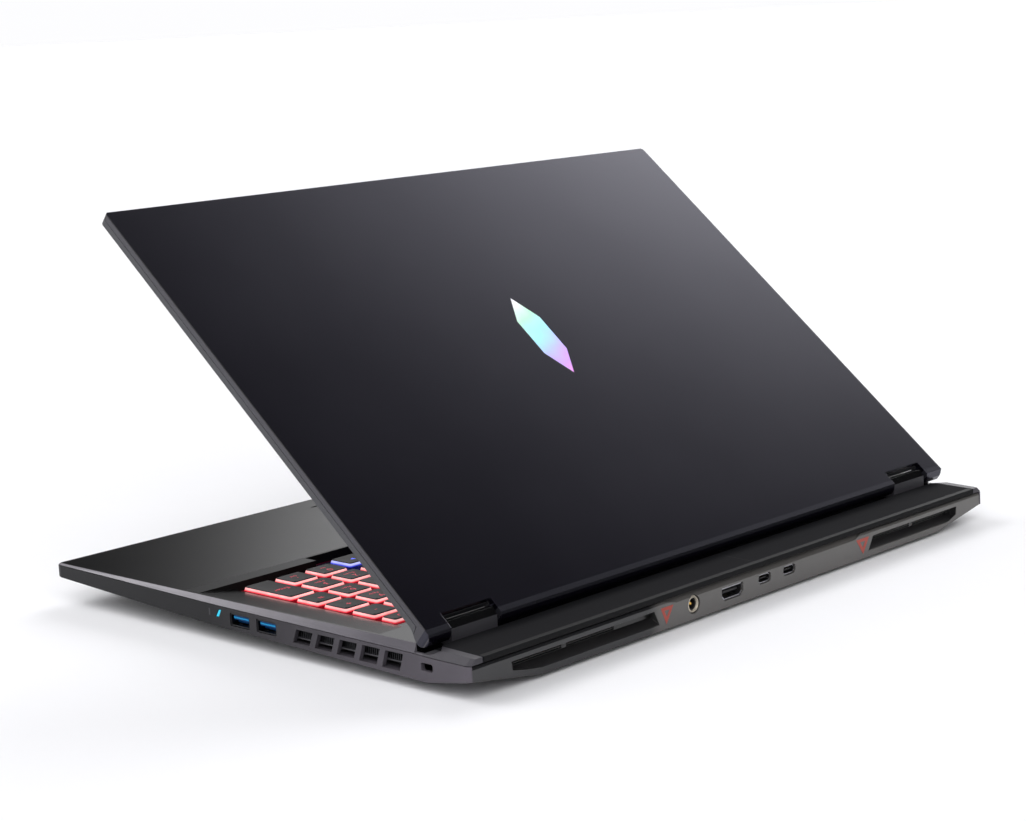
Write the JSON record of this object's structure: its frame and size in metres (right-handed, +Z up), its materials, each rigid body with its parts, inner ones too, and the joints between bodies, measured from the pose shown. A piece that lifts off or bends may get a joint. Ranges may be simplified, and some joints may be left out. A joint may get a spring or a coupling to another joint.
{
  "type": "laptop computer",
  "caption": "Large open clamshell laptop: dark lid on rear hinges, backlit keyboard with number pad, touchpad, slanted side vents, and rear ports between two recessed exhaust grilles.",
  "frame": {"origin": "centre of the base's footprint on the table, at the underside of the feet", "axes": "+X to the user's right, along the width; +Y to the rear, away from the user; +Z up. The lid is stored open by 40.24 degrees."},
  "size_m": [0.4, 0.3, 0.2029],
  "materials": {
    "deck_plastic": "satin",
    "shell_plastic": "satin",
    "lid_metal": "satin",
    "trim_plastic": "satin",
    "cover_plastic": "satin",
    "bezel_plastic": "matte",
    "screen": "gloss",
    "emblem_metal": "polished",
    "keycap_plastic": "matte",
    "backlit_plate": "matte",
    "touchpad_surface": "satin",
    "rubber": "matte",
    "circuit_board": "satin",
    "copper": "satin",
    "steel": "satin",
    "black_plastic": "matte",
    "battery_foil": "matte",
    "power_light": "satin"
  },
  "bodies": {
    "base": {"top_case": "deck_plastic", "bottom_cover": "shell_plastic", "rear_trim": "trim_plastic", "keyboard_plate": "backlit_plate", "motherboard": "circuit_board", "heat_pipes": "copper", "battery_pack": "battery_foil", "ssd_module": "circuit_board", "memory_module": "circuit_board", "rear_foot": "rubber", "usb_a_right_1": "steel", "usb_a_right_2": "steel", "usb_a_left": "steel", "usb_c_1": "steel", "usb_c_2": "steel", "hdmi_port": "steel", "dc_jack": "steel", "ethernet_port": "black_plastic", "audio_jack": "black_plastic", "power_light": "power_light", "fan_housing_right": "black_plastic", "fan_housing_left": "black_plastic", "fin_stack_rear_right": "copper", "fin_stack_rear_left": "copper", "fin_stack_side_right": "copper", "fin_stack_side_left": "copper", "speaker_right": "black_plastic", "speaker_left": "black_plastic", "front_foot_right": "rubber", "front_foot_left": "rubber", "hinge_bracket_right": "steel", "hinge_bracket_left": "steel", "hinge_cover_right": "cover_plastic", "hinge_cover_left": "cover_plastic"},
    "lid": {"lid_back_cover": "lid_metal", "display_bezel": "bezel_plastic", "display_panel": "screen", "webcam_module": "circuit_board", "lid_emblem": "emblem_metal", "hinge_arm_right": "steel", "hinge_arm_left": "steel"},
    "touchpad": {"touchpad": "touchpad_surface"},
    "fan_rotor_right": {"fan_rotor_right": "black_plastic"},
    "fan_rotor_left": {"fan_rotor_left": "black_plastic"},
    "key_row_function": {"key_row_function": "keycap_plastic"},
    "key_row_digits": {"key_row_digits": "keycap_plastic"},
    "key_row_upper": {"key_row_upper": "keycap_plastic"},
    "key_row_home": {"key_row_home": "keycap_plastic"},
    "key_row_lower": {"key_row_lower": "keycap_plastic"},
    "key_row_bottom_left": {"key_row_bottom_left": "keycap_plastic"},
    "key_row_bottom_right": {"key_row_bottom_right": "keycap_plastic"},
    "key_block_numpad": {"key_block_numpad": "keycap_plastic"},
    "key_power": {"key_power": "keycap_plastic"},
    "key_pair_minus_plus": {"key_pair_minus_plus": "keycap_plastic"},
    "key_numpad_enter": {"key_numpad_enter": "keycap_plastic"},
    "key_space": {"key_space": "keycap_plastic"},
    "key_arrow_left": {"key_arrow_left": "keycap_plastic"},
    "key_arrow_down": {"key_arrow_down": "keycap_plastic"},
    "key_arrow_right": {"key_arrow_right": "keycap_plastic"},
    "key_arrow_up": {"key_arrow_up": "keycap_plastic"}
  },
  "joints": [
    {"name": "lid_hinge", "type": "hinge", "parent": "base", "child": "lid", "pos_m": [0, 0.1206, 0.0243], "axis": [-1, 0, 0], "range_deg": [-40.2, 95]},
    {"name": "touchpad_click", "type": "hinge", "parent": "base", "child": "touchpad", "pos_m": [-0.025, -0.052, 0.01995], "axis": [1, 0, 0], "range_deg": [0, 0.5], "stiffness_Nm_per_rad": 16, "springref_deg": -0.17},
    {"name": "fan_spin_right", "type": "hinge", "parent": "base", "child": "fan_rotor_right", "pos_m": [0.122, 0.066, 0.0089], "axis": [0, 0, 1], "continuous": true},
    {"name": "fan_spin_left", "type": "hinge", "parent": "base", "child": "fan_rotor_left", "pos_m": [-0.122, 0.066, 0.0089], "axis": [0, 0, 1], "continuous": true},
    {"name": "press_row_function", "type": "slide", "parent": "base", "child": "key_row_function", "axis": [0, 0, -1], "range_m": [0, 0.0013], "stiffness_N_per_m": 7650, "springref_m": -0.0004},
    {"name": "press_row_digits", "type": "slide", "parent": "base", "child": "key_row_digits", "axis": [0, 0, -1], "range_m": [0, 0.0013], "stiffness_N_per_m": 6300, "springref_m": -0.0004},
    {"name": "press_row_upper", "type": "slide", "parent": "base", "child": "key_row_upper", "axis": [0, 0, -1], "range_m": [0, 0.0013], "stiffness_N_per_m": 6300, "springref_m": -0.0004},
    {"name": "press_row_home", "type": "slide", "parent": "base", "child": "key_row_home", "axis": [0, 0, -1], "range_m": [0, 0.0013], "stiffness_N_per_m": 5850, "springref_m": -0.0004},
    {"name": "press_row_lower", "type": "slide", "parent": "base", "child": "key_row_lower", "axis": [0, 0, -1], "range_m": [0, 0.0013], "stiffness_N_per_m": 5400, "springref_m": -0.0004},
    {"name": "press_row_bottom_left", "type": "slide", "parent": "base", "child": "key_row_bottom_left", "axis": [0, 0, -1], "range_m": [0, 0.0013], "stiffness_N_per_m": 1800, "springref_m": -0.0004},
    {"name": "press_row_bottom_right", "type": "slide", "parent": "base", "child": "key_row_bottom_right", "axis": [0, 0, -1], "range_m": [0, 0.0013], "stiffness_N_per_m": 1350, "springref_m": -0.0004},
    {"name": "press_block_numpad", "type": "slide", "parent": "base", "child": "key_block_numpad", "axis": [0, 0, -1], "range_m": [0, 0.0013], "stiffness_N_per_m": 6750, "springref_m": -0.0004},
    {"name": "press_power", "type": "slide", "parent": "base", "child": "key_power", "axis": [0, 0, -1], "range_m": [0, 0.0013], "stiffness_N_per_m": 450, "springref_m": -0.0004},
    {"name": "press_pair_minus_plus", "type": "slide", "parent": "base", "child": "key_pair_minus_plus", "axis": [0, 0, -1], "range_m": [0, 0.0013], "stiffness_N_per_m": 900, "springref_m": -0.0004},
    {"name": "press_numpad_enter", "type": "slide", "parent": "base", "child": "key_numpad_enter", "axis": [0, 0, -1], "range_m": [0, 0.0013], "stiffness_N_per_m": 450, "springref_m": -0.0004},
    {"name": "press_space", "type": "slide", "parent": "base", "child": "key_space", "axis": [0, 0, -1], "range_m": [0, 0.0013], "stiffness_N_per_m": 450, "springref_m": -0.0004},
    {"name": "press_arrow_left", "type": "slide", "parent": "base", "child": "key_arrow_left", "axis": [0, 0, -1], "range_m": [0, 0.0013], "stiffness_N_per_m": 450, "springref_m": -0.0004},
    {"name": "press_arrow_down", "type": "slide", "parent": "base", "child": "key_arrow_down", "axis": [0, 0, -1], "range_m": [0, 0.0013], "stiffness_N_per_m": 450, "springref_m": -0.0004},
    {"name": "press_arrow_right", "type": "slide", "parent": "base", "child": "key_arrow_right", "axis": [0, 0, -1], "range_m": [0, 0.0013], "stiffness_N_per_m": 450, "springref_m": -0.0004},
    {"name": "press_arrow_up", "type": "slide", "parent": "base", "child": "key_arrow_up", "axis": [0, 0, -1], "range_m": [0, 0.0013], "stiffness_N_per_m": 450, "springref_m": -0.0004}
  ]
}
